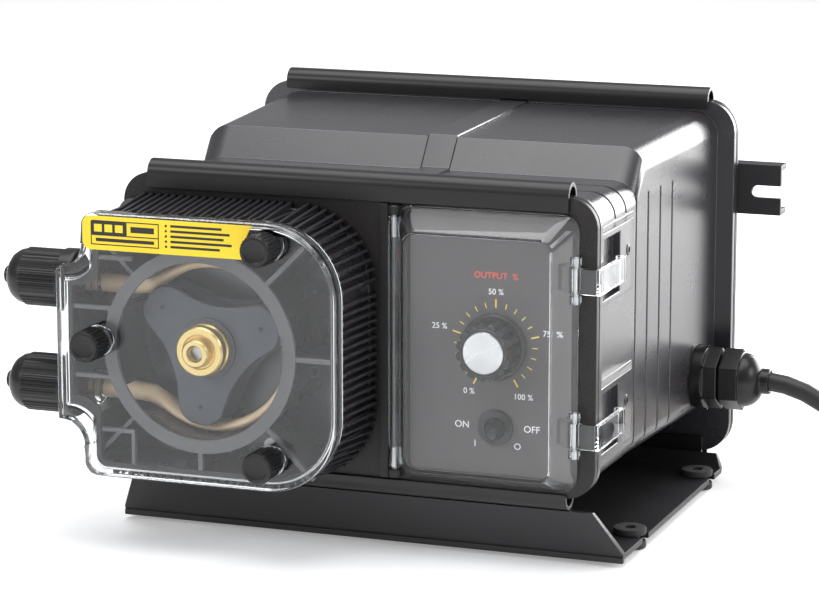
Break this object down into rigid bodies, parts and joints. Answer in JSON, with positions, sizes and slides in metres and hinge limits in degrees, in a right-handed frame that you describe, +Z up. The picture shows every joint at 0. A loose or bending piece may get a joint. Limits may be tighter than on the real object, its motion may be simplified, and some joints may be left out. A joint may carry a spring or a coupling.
{
  "type": "peristaltic pump",
  "caption": "metering pump with a three-roller peristaltic head, clear head cover, speed control under a clear hinged cover, and a sled base with rubber feet",
  "frame": {"origin": "On the floor, at the centre of the four screw holes through the rubber feet.", "axes": "X to the right as seen from the control side, Y to the rear, Z up."},
  "size_m": [0.4971, 0.3743, 0.2035],
  "materials": {
    "housing_plastic": "fine textured",
    "panel_black": "satin",
    "rail_black": "satin",
    "base_grey": "satin",
    "rubber": "matte",
    "clear_plastic": "clear moulded",
    "label_yellow": "printed film",
    "knob_black": "moulded",
    "tube_tan": "smooth",
    "brass": "turned",
    "rotor_grey": "moulded",
    "roller_black": "moulded",
    "steel": "ground",
    "aluminium": "spun",
    "die_cast": "cast",
    "gear_nylon": "moulded",
    "motor_steel": "plated",
    "copper": "wound",
    "board_green": "coated",
    "faceplate": "printed",
    "cord_black": "matte",
    "plug_black": "moulded"
  },
  "bodies": {
    "pump_body": {"main_housing": "housing_plastic", "front_panel": "panel_black", "rear_panel": "panel_black", "front_gasket": "rubber", "rear_gasket": "rubber", "front_top_rail": "rail_black", "front_bottom_rail": "rail_black", "rear_top_rail": "rail_black", "rear_bottom_rail": "rail_black", "mounting_base": "base_grey", "rubber_feet": "rubber", "wall_bracket": "base_grey", "bracket_screws": "steel", "head_housing": "housing_plastic", "head_gasket": "rubber", "head_cover": "clear_plastic", "head_label": "label_yellow", "head_screws": "steel", "pump_tube": "tube_tan", "tube_adapters": "clear_plastic", "shaft_bearing": "steel", "shaft_seal": "rubber", "gearbox_case": "die_cast", "gearbox_lid": "die_cast", "idler_axle": "steel", "motor_can": "motor_steel", "circuit_board": "board_green", "control_faceplate": "faceplate", "potentiometer": "steel", "switch_body": "steel", "cover_hinge_pins": "steel", "gland_body": "knob_black", "gland_nut": "knob_black", "power_cord": "cord_black", "cord_coil": "cord_black", "coil_tie": "cord_black", "plug": "plug_black"},
    "rotor": {"rotor_front_plate": "rotor_grey", "rotor_rear_plate": "rotor_grey", "roller_pins": "steel", "hub_nut": "brass", "rotor_shaft": "steel", "output_gear": "gear_nylon"},
    "roller_a": {"roller_1": "roller_black"},
    "roller_b": {"roller_2": "roller_black"},
    "roller_c": {"roller_3": "roller_black"},
    "idler": {"idler_gear": "gear_nylon"},
    "motor_rotor": {"motor_armature": "copper"},
    "knob": {"speed_knob": "knob_black", "knob_cap": "aluminium"},
    "toggle": {"switch_lever": "knob_black"},
    "cover": {"control_cover": "clear_plastic", "latch_pins": "steel"},
    "latch_high": {"upper_latch": "clear_plastic"},
    "latch_low": {"lower_latch": "clear_plastic"},
    "screw_top": {"thumb_screw_top": "knob_black"},
    "screw_left": {"thumb_screw_left": "knob_black"},
    "screw_bottom": {"thumb_screw_bottom": "knob_black"},
    "nut_discharge": {"discharge_nut": "knob_black"},
    "nut_suction": {"suction_nut": "knob_black"}
  },
  "joints": [
    {"name": "rotor_spin", "type": "hinge", "parent": "pump_body", "child": "rotor", "pos_m": [-0.064, -0.138, 0.1], "axis": [0, 1, 0], "continuous": true},
    {"name": "roller_a_spin", "type": "hinge", "parent": "rotor", "child": "roller_a", "pos_m": [-0.03665, -0.1285, 0.11105], "axis": [0, 1, 0], "continuous": true},
    {"name": "roller_b_spin", "type": "hinge", "parent": "rotor", "child": "roller_b", "pos_m": [-0.08725, -0.1285, 0.11816], "axis": [0, 1, 0], "continuous": true},
    {"name": "roller_c_spin", "type": "hinge", "parent": "rotor", "child": "roller_c", "pos_m": [-0.06811, -0.1285, 0.07079], "axis": [0, 1, 0], "continuous": true},
    {"name": "idler_spin", "type": "hinge", "parent": "pump_body", "child": "idler", "pos_m": [-0.029, -0.095, 0.1], "axis": [0, 1, 0], "continuous": true},
    {"name": "motor_spin", "type": "hinge", "parent": "pump_body", "child": "motor_rotor", "pos_m": [-0.05428, -0.06, 0.07879], "axis": [0, 1, 0], "continuous": true},
    {"name": "speed_knob_turn", "type": "hinge", "parent": "pump_body", "child": "knob", "pos_m": [0.07, -0.118, 0.1055], "axis": [0, 1, 0], "range_deg": [0, 300]},
    {"name": "power_toggle", "type": "hinge", "parent": "pump_body", "child": "toggle", "pos_m": [0.0705, -0.1126, 0.0665], "axis": [0, 0, 1], "range_deg": [-24, 0]},
    {"name": "cover_swing", "type": "hinge", "parent": "pump_body", "child": "cover", "pos_m": [0.0215, -0.117, 0.105], "axis": [0, 0, -1], "range_deg": [0, 70]},
    {"name": "upper_latch_swing", "type": "hinge", "parent": "cover", "child": "latch_high", "pos_m": [0.1105, -0.117, 0.14], "axis": [0, 0, -1], "range_deg": [0, 100]},
    {"name": "lower_latch_swing", "type": "hinge", "parent": "cover", "child": "latch_low", "pos_m": [0.1105, -0.117, 0.067], "axis": [0, 0, -1], "range_deg": [0, 100]},
    {"name": "thumb_screw_top_turn", "type": "hinge", "parent": "pump_body", "child": "screw_top", "pos_m": [-0.026, -0.165, 0.154], "axis": [0, 1, 0], "continuous": true},
    {"name": "thumb_screw_left_turn", "type": "hinge", "parent": "pump_body", "child": "screw_left", "pos_m": [-0.1135, -0.165, 0.103], "axis": [0, 1, 0], "continuous": true},
    {"name": "thumb_screw_bottom_turn", "type": "hinge", "parent": "pump_body", "child": "screw_bottom", "pos_m": [-0.026, -0.165, 0.052], "axis": [0, 1, 0], "continuous": true},
    {"name": "discharge_nut_turn", "type": "hinge", "parent": "pump_body", "child": "nut_discharge", "pos_m": [-0.15, -0.1285, 0.126], "axis": [1, 0, 0], "continuous": true},
    {"name": "suction_nut_turn", "type": "hinge", "parent": "pump_body", "child": "nut_suction", "pos_m": [-0.15, -0.1285, 0.074], "axis": [1, 0, 0], "continuous": true}
  ],
  "couplings": [
    {"joint": "roller_a_spin", "follows": "rotor_spin", "ratio": -5.2143},
    {"joint": "roller_b_spin", "follows": "rotor_spin", "ratio": -5.2143},
    {"joint": "roller_c_spin", "follows": "rotor_spin", "ratio": -5.2143},
    {"joint": "idler_spin", "follows": "rotor_spin", "ratio": -4},
    {"joint": "motor_spin", "follows": "rotor_spin", "ratio": 18}
  ]
}
